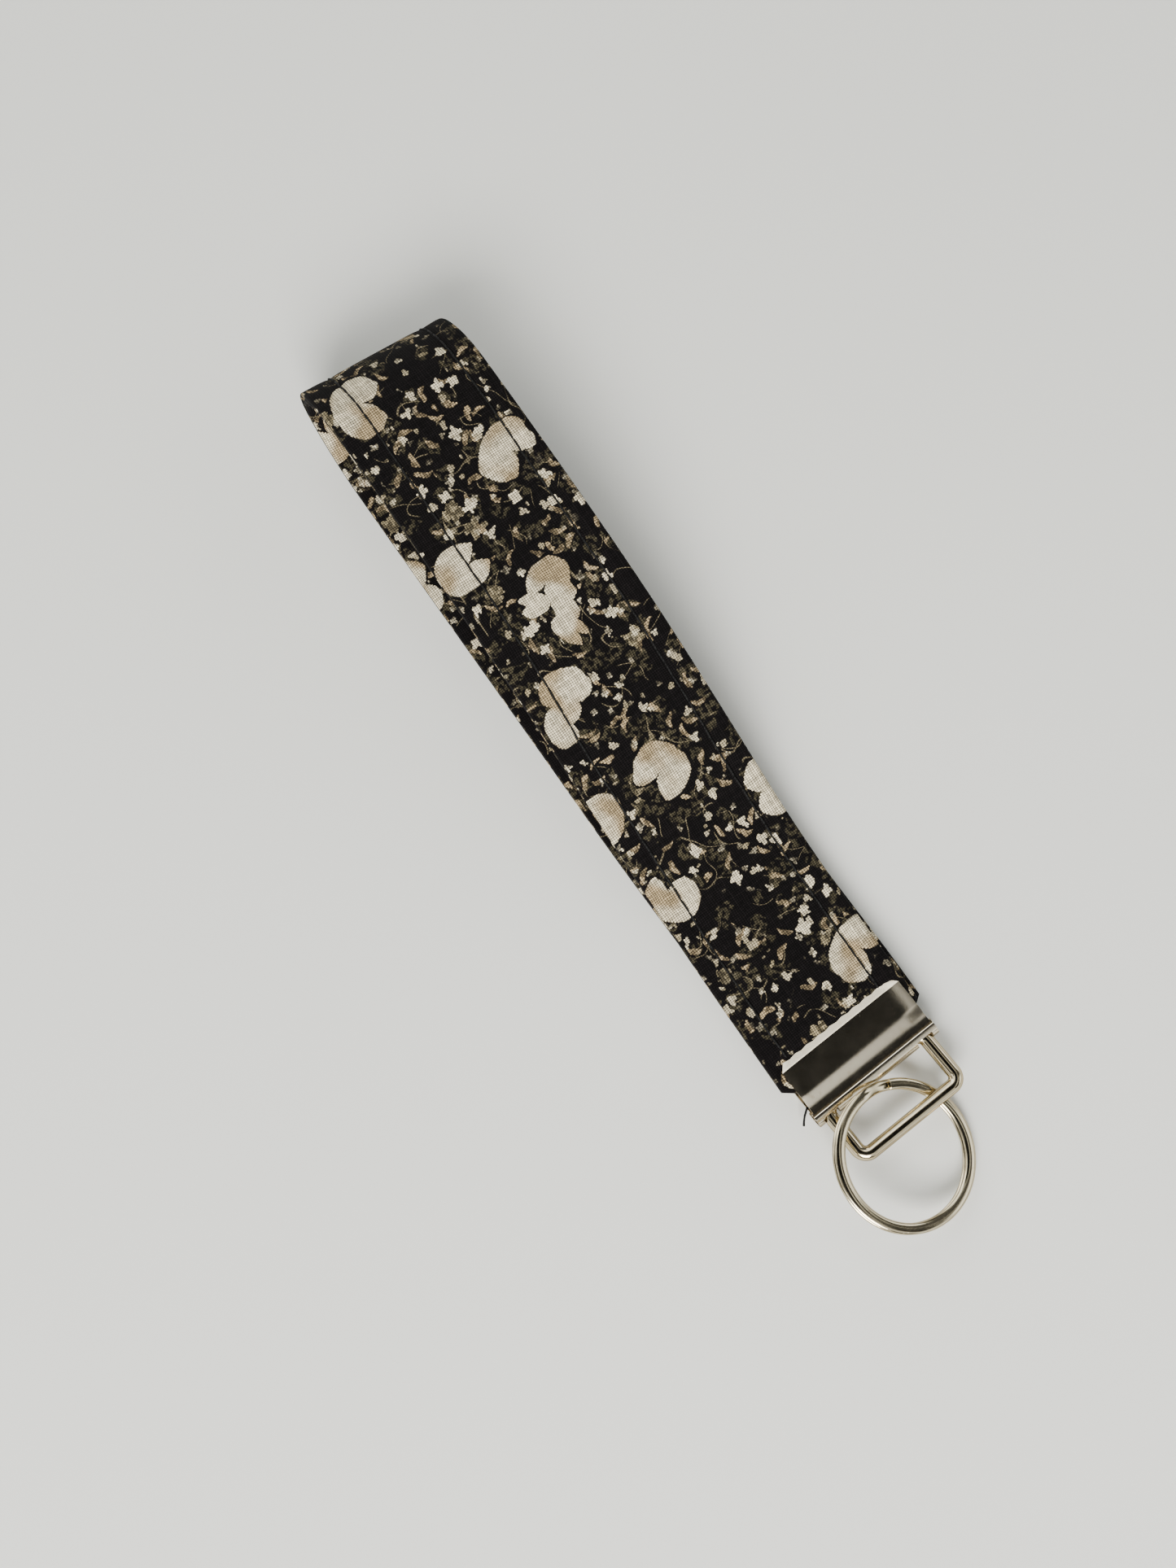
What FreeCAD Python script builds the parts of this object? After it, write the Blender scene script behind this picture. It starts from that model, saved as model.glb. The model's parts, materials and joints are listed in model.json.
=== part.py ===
"""Wristlet key fob: a folded cotton strap crimped in a sheet-metal clamp, a wire loop and a split ring.

Each function makes one piece. Pieces are drawn about the clamp's hinge axis: x across the strap,
y from the hinge towards the fold, z up from the table. At the end all of them are shifted together, so
that the origin is the middle of the whole object's box, on the table. Lengths are in millimetres.
"""
import FreeCAD, Part

import math
import os

from FreeCAD import Rotation, Vector

# Strap
STRAP_WIDTH = 28.0
STRAP_THICKNESS = 2.15
STRAP_EDGE_ROUND = 0.6
CORE_WIDTH = 26.4
CORE_THICKNESS = 1.0
LAYER_GAP = 0.10
STRAP_END_Y = 4.2
END_TRIM_ACROSS = 2.1
END_TRIM_ALONG = 1.55
MOUTH_Y = 12.0
TABLE_Y = 26.0
PART_Y = 30.0
CREST_Y = 128.0
FOLD_START_Y = 134.6
LOOP_HEIGHT = 20.2
PART_BEND_RADIUS = 55.0
FOLD_SIDE_TURN = 50.0
FOLD_TIP_RADIUS = 7.0

# Stitching
STITCH_X = 9.2
THREAD_WIDTH = 0.4
THREAD_DEPTH = 0.3

# Clamp
SHEET = 0.6
JAW_GAP = 4.4
CLAMP_WIDTH = 25.0
SPINE_WIDTH = 25.6
JAW_START_Y = 1.0
SPINE_MID_RADIUS = 1.6
GROOVE_MID_RADIUS = 0.5
SHOULDER_RADIUS = 1.6
SHOULDER_TURN = 35.0
SPINE_TURN = 105.0
FACE_END_Y = 9.0
LIP_RADIUS = 0.6
LIP_TURN = 45.0
LIP_LENGTH = 0.85
LIP_CORNER = 1.3
FACE_MOVE = 4
TOOTH_PITCH = 2.5
TOOTH_GAP = 1.6
TOOTH_DEPTH = 0.45
CLAMP_TURN = 3.1
CLAMP_X = 0.7
HINGE_Z = JAW_GAP / 2 + SHEET

# Wire loop
WIRE_RADIUS = 1.25
LOOP_LEG_X = 10.35
LOOP_REACH = 10.1
LOOP_CORNER_RADIUS = 1.75
LOOP_REST_TILT = 8.4
LOOP_SLOT_SWING = 16.0
LOOP_SLOT_CLEARANCE = 0.08

# Split ring
RING_OUTER_RADIUS = 12.75
RING_WIRE_WIDTH = 1.9
RING_WIRE_THICKNESS = 0.9
RING_WIRE_ROUND = 0.42
RING_COIL_GAP = 0.06
RING_LOW_START = 95.0
RING_RAMP_START = 70.0
RING_RAMP_END = 92.0
RING_HIGH_END = 66.0
RING_RAMP_SECTIONS = 7
RING_X = -3.4
RING_Y = -14.05
RING_SLOPE_X = 0.30
RING_SLOPE_Y = -0.08

# Cutting tools
FAR = 60.0
OVERSHOOT = 1.0
TOLERANCE = 0.001


def heading_vector(heading):
    """The unit vector in the y-z plane that points along a heading, in degrees up from +y."""
    angle = math.radians(heading)
    return Vector(0, math.cos(angle), math.sin(angle))


def left_of(heading):
    return heading_vector(heading + 90)


def run(length):
    return ("run", length, 0.0)


def bend(radius, turn):
    """An arc that turns left by turn degrees, or right if turn is negative."""
    return ("bend", radius, turn)


def step(place, heading, move, share=1.0):
    """Where a share of one run or bend leads."""
    kind, size, turn = move
    if kind == "run":
        return place + heading_vector(heading) * (size * share), heading
    side = math.copysign(size, turn)
    centre = place + left_of(heading) * side
    new_heading = heading + turn * share
    return centre - left_of(new_heading) * side, new_heading


def offset_edges(place, heading, moves, offset):
    """The edges that follow a path of runs and bends at a distance to its left."""
    edges = []
    for move in moves:
        middle, middle_heading = step(place, heading, move, 0.5)
        end, end_heading = step(place, heading, move)
        first = place + left_of(heading) * offset
        last = end + left_of(end_heading) * offset
        if move[0] == "run":
            edges.append(Part.LineSegment(first, last).toShape())
        else:
            through = middle + left_of(middle_heading) * offset
            edges.append(Part.Arc(first, through, last).toShape())
        place, heading = end, end_heading
    return edges


def ribbon(place, heading, moves, right, left, width, middle_x=0.0):
    """A band along a path in the y-z plane, between two distances from it, and width wide in x."""
    one_side = offset_edges(place, heading, moves, right)
    other_side = offset_edges(place, heading, moves, left)
    caps = [
        Part.LineSegment(one_side[0].Vertexes[0].Point, other_side[0].Vertexes[0].Point).toShape(),
        Part.LineSegment(one_side[-1].Vertexes[-1].Point, other_side[-1].Vertexes[-1].Point).toShape(),
    ]
    outline = Part.Wire(Part.__sortEdges__(one_side + other_side + caps))
    face = Part.Face(outline)
    face.translate(Vector(middle_x - width / 2, 0, 0))
    return face.extrude(Vector(width, 0, 0))


def ease(along, climb, radius, radius_is_last=False):
    """Two bends that climb, or drop, to the left of a straight path and come back parallel to it."""
    turn = 2 * math.degrees(math.atan(climb / along))
    both_radii = along / math.sin(math.radians(abs(turn)))
    radii = [radius, both_radii - radius]
    if radius_is_last:
        radii.reverse()
    return [bend(radii[0], turn), bend(radii[1], -turn)]


def strap_start():
    return Vector(0, STRAP_END_Y, HINGE_Z - (STRAP_THICKNESS + LAYER_GAP) / 2)


def strap_moves():
    """The strap's middle line: out of the clamp, along the table, round the fold and back above itself."""
    half = STRAP_THICKNESS / 2
    drop = strap_start().z - half
    drop_length = TABLE_Y - MOUTH_Y
    drop_radius = drop_length / 2 / math.sin(2 * math.atan(drop / drop_length))
    tip_share = math.cos(math.radians(FOLD_SIDE_TURN))
    side_radius = (LOOP_HEIGHT / 2 - FOLD_TIP_RADIUS * tip_share) / (1 - tip_share)
    descent = LOOP_HEIGHT - STRAP_THICKNESS - LAYER_GAP
    return (
        [run(MOUTH_Y - STRAP_END_Y)]
        + ease(drop_length, -drop, drop_radius)
        + [run(FOLD_START_Y - TABLE_Y)]
        + [bend(side_radius, FOLD_SIDE_TURN)]
        + [bend(FOLD_TIP_RADIUS, 180 - 2 * FOLD_SIDE_TURN)]
        + [bend(side_radius, FOLD_SIDE_TURN)]
        + [run(FOLD_START_Y - CREST_Y)]
        + ease(CREST_Y - PART_Y, descent, PART_BEND_RADIUS, radius_is_last=True)
        + [run(PART_Y - TABLE_Y)]
        + ease(drop_length, -drop, drop_radius)
        + [run(MOUTH_Y - STRAP_END_Y)]
    )


def strap_band(right, left, width, middle_x=0.0):
    return ribbon(strap_start(), 0.0, strap_moves(), right, left, width, middle_x)


def end_trims():
    """Wedges that take the corners off the strap's two cut ends."""
    wedges = []
    outside_y = STRAP_END_Y - OVERSHOOT
    clear_of_both = 2 * HINGE_Z + 2 * OVERSHOOT
    for side in (-1, 1):
        edge = side * STRAP_WIDTH / 2
        outside_x = edge + side * OVERSHOOT
        cut_x = edge - side * END_TRIM_ACROSS
        corners = [
            Vector(outside_x, outside_y, -OVERSHOOT),
            Vector(cut_x, outside_y, -OVERSHOOT),
            Vector(cut_x, STRAP_END_Y, -OVERSHOOT),
            Vector(edge, STRAP_END_Y + END_TRIM_ALONG, -OVERSHOOT),
            Vector(outside_x, STRAP_END_Y + END_TRIM_ALONG, -OVERSHOOT),
        ]
        outline = Part.makePolygon(corners + corners[:1])
        wedges.append(Part.Face(outline).extrude(Vector(0, 0, clear_of_both)))
    return wedges


def thread(side, inner):
    """One line of stitching thread, sunk flush in the strap's outer or inner face."""
    half = STRAP_THICKNESS / 2
    near, far = (half - THREAD_DEPTH, half) if inner else (-half, THREAD_DEPTH - half)
    return strap_band(near, far, THREAD_WIDTH, side * STITCH_X)


def core():
    """The stiffening band inside the cotton sleeve."""
    half = CORE_THICKNESS / 2
    return strap_band(-half, half, CORE_WIDTH)


def long_edges(shape):
    """The edges that run along the strap at its two sides."""
    found = []
    for edge in shape.Edges:
        box = edge.BoundBox
        at_side = abs(abs(box.XMin) - STRAP_WIDTH / 2) < TOLERANCE
        if at_side and box.XLength < TOLERANCE and edge.Length > STRAP_THICKNESS + TOLERANCE:
            found.append(edge)
    return found


def sleeve(core_band, threads, lips):
    """The printed cotton: a flat tube round the core, with channels for the thread."""
    half = STRAP_THICKNESS / 2
    band = strap_band(-half, half, STRAP_WIDTH)
    band = band.makeFillet(STRAP_EDGE_ROUND, long_edges(band))
    return band.cut(end_trims() + [core_band] + threads + lips).removeSplitter()


def jaw_moves():
    """The sheet's middle line from the back of the spine, over the groove and the face, to the lip."""
    slope = math.radians(SHOULDER_TURN)
    rejoin = math.radians(180 - SPINE_TURN)
    both = SPINE_MID_RADIUS + GROOVE_MID_RADIUS
    groove_end_z = both * math.sin(rejoin) - GROOVE_MID_RADIUS * math.cos(slope)
    groove_end_y = both * math.cos(rejoin) + GROOVE_MID_RADIUS * math.sin(slope)
    shoulder_climb = SHOULDER_RADIUS * (1 - math.cos(slope))
    ramp = (JAW_GAP / 2 + SHEET / 2 - groove_end_z - shoulder_climb) / math.sin(slope)
    face_start_y = groove_end_y + ramp * math.cos(slope) + SHOULDER_RADIUS * math.sin(slope)
    return [
        bend(SPINE_MID_RADIUS, -SPINE_TURN),
        bend(GROOVE_MID_RADIUS, SHOULDER_TURN + SPINE_TURN - 90),
        run(ramp),
        bend(SHOULDER_RADIUS, -SHOULDER_TURN),
        run(FACE_END_Y - face_start_y),
        bend(LIP_RADIUS, -LIP_TURN),
        run(LIP_LENGTH),
    ]


def in_place(shape, tilt=0.0):
    """Turns a piece drawn about the hinge axis as the clamp lies, after tilting it about that axis."""
    shape.rotate(Vector(0, 0, 0), Vector(1, 0, 0), -tilt)
    shape.rotate(Vector(0, 0, 0), Vector(0, 0, 1), CLAMP_TURN)
    shape.translate(Vector(CLAMP_X, 0, HINGE_Z))
    return shape


def both_jaws(moves_from, width):
    """The sheet from the spine to both lips, or only the moves from one number on, in both jaws."""
    place, heading = Vector(0, -SPINE_MID_RADIUS, 0), 90.0
    moves = jaw_moves()
    for move in moves[:moves_from]:
        place, heading = step(place, heading, move)
    half = SHEET / 2
    upper = ribbon(place, heading, moves[moves_from:], -half, half, width)
    return [upper, upper.mirror(Vector(0, 0, 0), Vector(0, 0, 1))]


def clamp_blank():
    """The clamp's folded sheet with clipped lip corners and jaws a little narrower than the spine."""
    upper, lower = both_jaws(0, SPINE_WIDTH)
    blank = upper.fuse(lower).removeSplitter()
    strip_width = (SPINE_WIDTH - CLAMP_WIDTH) / 2 + OVERSHOOT
    past_lip_y = FACE_END_Y + LIP_RADIUS + LIP_LENGTH + OVERSHOOT
    cuts = []
    for side in (-1, 1):
        edge = side * CLAMP_WIDTH / 2
        outside_x = edge + side * OVERSHOOT
        strip_start = Vector(min(edge, edge + side * strip_width), JAW_START_Y, -FAR / 2)
        cuts.append(Part.makeBox(strip_width, FAR, FAR, strip_start))
        corners = [
            Vector(outside_x, past_lip_y, -FAR / 2),
            Vector(edge - side * (LIP_CORNER + OVERSHOOT), past_lip_y, -FAR / 2),
            Vector(outside_x, past_lip_y - LIP_CORNER - 2 * OVERSHOOT, -FAR / 2),
        ]
        cuts.append(Part.Face(Part.makePolygon(corners + corners[:1])).extrude(Vector(0, 0, FAR)))
    return blank.cut(cuts)


def leg_slots():
    """What the loop's legs sweep through in the spine, with a little clearance."""
    reach = WIRE_RADIUS + LOOP_SLOT_CLEARANCE
    inner_x = LOOP_LEG_X - LOOP_CORNER_RADIUS - LOOP_SLOT_CLEARANCE
    outer_x = LOOP_LEG_X + reach
    slots = []
    for low_x in (-outer_x, inner_x):
        for swing in (-LOOP_SLOT_SWING, 0.0, LOOP_SLOT_SWING):
            slot = Part.makeBox(outer_x - inner_x, FAR / 2, 2 * reach, Vector(low_x, -FAR / 2, -reach))
            slot.rotate(Vector(0, 0, 0), Vector(1, 0, 0), swing)
            slots.append(slot)
    return slots


def tooth_gaps():
    """The notches between the teeth along both lips."""
    count = int(CLAMP_WIDTH / TOOTH_PITCH) - 1
    lip_y = FACE_END_Y + LIP_RADIUS + LIP_LENGTH
    low_z = -JAW_GAP / 2
    gaps = []
    for number in range(count):
        x = (number - (count - 1) / 2) * TOOTH_PITCH
        corners = [
            Vector(x - TOOTH_GAP / 2, lip_y, low_z),
            Vector(x, lip_y - TOOTH_DEPTH, low_z),
            Vector(x + TOOTH_GAP / 2, lip_y, low_z),
        ]
        outline = Part.makePolygon(corners + corners[:1])
        gaps.append(Part.Face(outline).extrude(Vector(0, 0, JAW_GAP)))
    return gaps


def clamp():
    return in_place(clamp_blank().cut(leg_slots() + tooth_gaps()))


def wire_disc(centre):
    """A disc of the loop's wire, facing along y."""
    circle = Part.Circle(centre, Vector(0, 1, 0), WIRE_RADIUS)
    return Part.Face(Part.Wire(circle.toShape()))


def wire_loop():
    """The closed rectangle of round wire; its top side is the hinge inside the spine."""
    corner = LOOP_CORNER_RADIUS
    top, bottom = 0.0, -LOOP_REACH
    pieces = []
    for y in (top, bottom):
        bar_length = 2 * (LOOP_LEG_X - corner)
        start = Vector(-bar_length / 2, y, 0)
        pieces.append(Part.makeCylinder(WIRE_RADIUS, bar_length, start, Vector(1, 0, 0)))
    for side in (-1, 1):
        x = side * LOOP_LEG_X
        start = Vector(x, bottom + corner, 0)
        pieces.append(Part.makeCylinder(WIRE_RADIUS, LOOP_REACH - 2 * corner, start, Vector(0, 1, 0)))
        for y, sense in ((top, -side), (bottom, side)):
            corner_y = y + math.copysign(corner, bottom / 2 - y)
            hub = Vector(x - side * corner, corner_y, 0)
            end = wire_disc(Vector(x, corner_y, 0))
            pieces.append(end.revolve(hub, Vector(0, 0, 1), -90 * sense))
    return in_place(pieces[0].fuse(pieces[1:]).removeSplitter(), LOOP_REST_TILT)


def coil_height(angle):
    """The wire's middle height in the split ring: level, then a smooth climb over the ramp."""
    share = (angle - RING_RAMP_START) / (RING_RAMP_END - RING_RAMP_START)
    share = min(max(share, 0.0), 1.0)
    smooth = share * share * (3 - 2 * share)
    return (smooth - 0.5) * (RING_WIRE_THICKNESS + RING_COIL_GAP)


def coil_section(angle):
    """The ring wire's rounded flat section at an angle round the ring."""
    middle = RING_OUTER_RADIUS - RING_WIRE_WIDTH / 2
    z = coil_height(angle)
    wide = RING_WIRE_WIDTH / 2
    high = RING_WIRE_THICKNESS / 2
    inset = RING_WIRE_ROUND
    slant = inset * (1 - math.sqrt(0.5))
    edges = []
    for sx, sz in ((1, 1), (-1, 1), (-1, -1), (1, -1)):
        corner = Vector(middle + sx * wide, 0, z + sz * high)
        on_side = corner - Vector(0, 0, sz * inset)
        on_top = corner - Vector(sx * inset, 0, 0)
        rounded = corner - Vector(sx * slant, 0, sz * slant)
        first, last = (on_side, on_top) if sx * sz > 0 else (on_top, on_side)
        if edges:
            edges.append(Part.LineSegment(edges[-1].Vertexes[-1].Point, first).toShape())
        edges.append(Part.Arc(first, rounded, last).toShape())
    edges.append(Part.LineSegment(edges[-1].Vertexes[-1].Point, edges[0].Vertexes[0].Point).toShape())
    outline = Part.Wire(edges)
    outline.rotate(Vector(0, 0, 0), Vector(0, 0, 1), angle)
    return outline


def split_ring():
    """Two flat coils of one wire joined by a ramp, tilted as it lies on the table."""
    low = Part.Face(coil_section(RING_RAMP_START))
    low = low.revolve(Vector(0, 0, 0), Vector(0, 0, 1), RING_LOW_START - RING_RAMP_START - 360)
    high = Part.Face(coil_section(RING_RAMP_END))
    high = high.revolve(Vector(0, 0, 0), Vector(0, 0, 1), 360 + RING_HIGH_END - RING_RAMP_END)
    spread = (RING_RAMP_END - RING_RAMP_START) / (RING_RAMP_SECTIONS - 1)
    sections = [coil_section(RING_RAMP_START + number * spread) for number in range(RING_RAMP_SECTIONS)]
    ramp = Part.makeLoft(sections, True)
    ring = low.fuse([ramp, high]).removeSplitter()
    normal = Vector(RING_SLOPE_X, RING_SLOPE_Y, 1).normalize()
    ring.Placement = FreeCAD.Placement(Vector(0, 0, 0), Rotation(Vector(0, 0, 1), normal))
    ring.translate(Vector(RING_X, RING_Y, 0))
    lowest = ring.optimalBoundingBox(False, False).ZMin
    ring.translate(Vector(0, 0, -lowest))
    return ring


def build():
    """Every piece by node name, about the hinge axis."""
    core_band = core()
    threads = {
        "topstitch_left": thread(-1, False),
        "topstitch_right": thread(1, False),
        "bobbin_thread_left": thread(-1, True),
        "bobbin_thread_right": thread(1, True),
    }
    clamp_solid = clamp()
    lips = [in_place(jaw) for jaw in both_jaws(FACE_MOVE, CLAMP_WIDTH)]
    pieces = {
        "strap_sleeve": sleeve(core_band, list(threads.values()), lips),
        "strap_core": core_band.cut(end_trims() + lips),
        "clamp": clamp_solid,
        "wire_loop": wire_loop(),
        "split_ring": split_ring(),
    }
    for name, shape in threads.items():
        pieces[name] = shape.cut(lips)
    return pieces


def main():
    os.makedirs("parts", exist_ok=True)
    pieces = build()
    box = Part.makeCompound(list(pieces.values())).optimalBoundingBox(False, False)
    shift = Vector(-(box.XMin + box.XMax) / 2, -(box.YMin + box.YMax) / 2, -box.ZMin)
    for name, shape in pieces.items():
        shape.translate(shift)
        shape.exportStep("parts/" + name + ".step")
        print(name, shape.ShapeType, len(shape.Solids), shape.isValid(), round(shape.Volume, 1))
    print("size", round(box.XLength, 2), round(box.YLength, 2), round(box.ZLength, 2))
    for name, local in (("hinge", Vector(0, 0, 0)), ("far bar", Vector(0, -LOOP_REACH, 0))):
        point = in_place(Part.Vertex(local), LOOP_REST_TILT).Point + shift
        print(name, "axis through", [round(value, 3) for value in point])


main()
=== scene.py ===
import json
import math

import bpy
import numpy as np
from mathutils import Matrix, Vector


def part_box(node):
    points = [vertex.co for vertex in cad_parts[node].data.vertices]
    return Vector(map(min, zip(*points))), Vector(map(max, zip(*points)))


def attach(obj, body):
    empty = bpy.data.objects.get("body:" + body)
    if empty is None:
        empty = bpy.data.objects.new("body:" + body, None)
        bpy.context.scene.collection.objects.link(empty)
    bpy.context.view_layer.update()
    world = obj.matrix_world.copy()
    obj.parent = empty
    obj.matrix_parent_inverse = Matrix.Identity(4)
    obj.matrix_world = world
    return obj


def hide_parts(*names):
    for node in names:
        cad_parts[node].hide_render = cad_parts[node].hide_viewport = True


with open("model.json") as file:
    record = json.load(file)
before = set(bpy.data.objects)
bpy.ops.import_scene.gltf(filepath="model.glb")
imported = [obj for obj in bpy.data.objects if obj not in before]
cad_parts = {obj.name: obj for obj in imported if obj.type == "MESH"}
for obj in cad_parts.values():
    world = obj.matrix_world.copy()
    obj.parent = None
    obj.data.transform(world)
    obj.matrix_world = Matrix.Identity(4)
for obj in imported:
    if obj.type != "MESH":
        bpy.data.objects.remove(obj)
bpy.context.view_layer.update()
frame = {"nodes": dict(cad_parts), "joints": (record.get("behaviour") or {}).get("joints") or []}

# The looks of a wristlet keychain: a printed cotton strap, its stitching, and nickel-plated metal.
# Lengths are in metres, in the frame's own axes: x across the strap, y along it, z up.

MM = 0.001
JOINTS = {joint["name"]: joint for joint in frame["joints"]}
HINGE = Vector(JOINTS["loop_swing"]["pos_m"])
HINGE_AXIS = Vector(JOINTS["loop_swing"]["axis"]).normalized()
SLEEVE_LOW, SLEEVE_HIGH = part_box("strap_sleeve")
STRAP_BODY = "strap_and_clamp"

# Strap
STRAP_WIDTH = SLEEVE_HIGH.x - SLEEVE_LOW.x
STRAP_MIDDLE_X = (SLEEVE_HIGH.x + SLEEVE_LOW.x) / 2
STRAP_THICKNESS = 2.15 * MM
LAYER_GAP = 0.10 * MM
MOUTH_RUN = 7.8 * MM
DROP_LENGTH = 14.0 * MM
TABLE_RUN = 108.6 * MM
LOOP_HEIGHT = 20.2 * MM
FOLD_SIDE_TURN = 50.0
FOLD_TIP_RADIUS = 7.0 * MM
CREST_RUN = 6.6 * MM
DESCENT_LENGTH = 98.0 * MM
PART_BEND_RADIUS = 55.0 * MM
PART_RUN = 4.0 * MM
FOLD_SKEW = 0.085
FOLD_SKEW_REACH = 24.0 * MM
END_TRIM_ACROSS = 2.1 * MM
END_TRIM_ALONG = 1.55 * MM
ROW_STEP = 0.8 * MM
SECTION_STEP = 0.65 * MM

CLOTH_THICKNESS = 0.28 * MM
CORE_WIDTH_SHARE = 0.985
CORE_HALF_THICKNESS = 0.17 * MM
HEM_WIDTH = 21.0 * MM
EDGE_FOLD_RADIUS = 0.48 * MM
HEM_HEIGHT = 0.46 * MM
HEM_SHARES = (1.0, 0.75, 0.5, 0.25, 0.1)
EDGE_FOLD_SIDES = 8
LEFT_EDGE_RUN = 1.0 * MM
RIGHT_EDGE_RUN = 1.1 * MM
RIGHT_EDGE_SQUARENESS = 0.72
RIGHT_EDGE_SIDES = 5

# How far the strap strays sideways: (distance along it from the fold's tip, shift)
STRAP_DRIFT = [(-146 * MM, 0.9 * MM), (-90 * MM, -0.1 * MM), (-20 * MM, -0.3 * MM), (20 * MM, 0.7 * MM),
               (60 * MM, 0.7 * MM), (110 * MM, 0.2 * MM), (146 * MM, -0.1 * MM)]
# Where the two seams run across the strap: (distance from the fold's tip, left seam, right seam)
SEAM_LINES = [
    (-146 * MM, -9.2 * MM, 9.2 * MM),
    (-20 * MM, -9.0 * MM, 9.4 * MM),
    (15 * MM, -8.1 * MM, 9.9 * MM),
    (60 * MM, -8.7 * MM, 9.9 * MM),
    (90 * MM, -9.5 * MM, 9.6 * MM),
    (146 * MM, -9.9 * MM, 9.4 * MM),
]

# Stitching
STITCH_LENGTH = 2.5 * MM
THREAD_RADIUS = 0.19 * MM
THREAD_SIDES = 8
STITCH_LEAN = 0.05 * MM
# Along one stitch: shares of its length, heights above the cloth in mm, and shares of the thread's radius
STITCH_SHARES = [-0.50, -0.45, -0.36, -0.18, 0.0, 0.18, 0.36, 0.45, 0.50]
STITCH_LIFTS = [-0.16, 0.0, 0.09, 0.14, 0.15, 0.14, 0.09, 0.0, -0.16]
STITCH_SWELLS = [0.8, 0.95, 1, 1, 1, 1, 1, 0.95, 0.8]
LOWER_STITCH_DROP = 0.07
# The loose thread end, in mm: its start from the strap's left edge, the hinge and the table, and its steps
TAIL_START = (2.2, 1.3, 2.2)
TAIL_STEPS = [(0, 0, 0), (-0.5, -0.35, 0.15), (-1.2, -0.9, 0.1), (-1.8, -1.6, -0.25), (-2.2, -2.2, -0.7)]
TAIL_SWELLS = [1, 1, 1, 1, 1.15]
GROOVE_DEPTH = 0.20 * MM
GROOVE_WIDTH = 0.45 * MM
PUFF_DEPTH = 0.13 * MM
PUFF_WIDTH = 1.5 * MM
LIP_BITE_AT = 5.4 * MM
LIP_BITE_DEPTH = 0.42 * MM
LIP_BITE_LENGTH = 1.3 * MM
LIP_BITE_MARGIN = 0.3 * MM

# Clamp, about the hinge axis: y towards the strap, z out of the strap's upper face
SHEET = 0.6 * MM
SPINE_RADIUS = 1.9 * MM
SPINE_END_ANGLE = 88.0
SPINE_HALF_WIDTH = 12.8 * MM
JAW_HALF_WIDTH = 12.5 * MM
FACE_HEIGHT = 2.8 * MM
GROOVE_PLACE = (0.30 * MM, 1.66 * MM)
FOOT_Y = 0.55 * MM
FOOT_HEIGHT = 2.05 * MM
RAMP_START_Y = 1.3 * MM
RAMP_END_Y = 4.5 * MM
LIP_START_Y = 8.9 * MM
LIP_RADIUS = 0.5 * MM
LIP_LENGTH = 1.35 * MM
LIP_TURN = 34.0
LIP_CORNER = 1.3 * MM
RIGHT_BEND_FROM, RIGHT_BEND = 0.72, 0.34 * MM
LEFT_BEND_FROM, LEFT_BEND = 0.90, 0.10 * MM
TOOTH_PITCH = 2.5 * MM
TOOTH_DEPTH = 0.25 * MM
SLOT_INNER_X = 8.52 * MM
SLOT_OUTER_X = 11.68 * MM
SLOT_END_Y = -0.95 * MM

SPINE_SIDES = 20
JAW_STEPS = 34
LIP_SIDES = 5
LIP_SHARES = (0.25, 0.5, 0.75, 1.0)
LIP_CORNER_SLOPE = 0.9
COLUMN_STEP = 0.42 * MM
CLAMP_EDGE_ROUND = 0.08 * MM

# Split ring
RING_RADIUS = 11.8 * MM
RING_WIRE_HALF_WIDTH = 0.95 * MM
RING_WIRE_HALF_HEIGHT = 0.45 * MM
RING_WIRE_SQUARENESS = 1.95
COIL_SPACING = 0.96 * MM
RAMP_START, RAMP_END = 70.0, 92.0
COIL_START, COIL_END = -265.0, 426.0
RING_SLOPE = (0.30, -0.08, 1.0)
RING_EDGE_ROUND = 0.07 * MM
RING_SIDES = 28
RING_STEPS = 300

# Cotton weave and print, in mm
YARN_ACROSS = 0.416
YARN_ALONG = 0.376


# ---------------------------------------------------------------- materials

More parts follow.
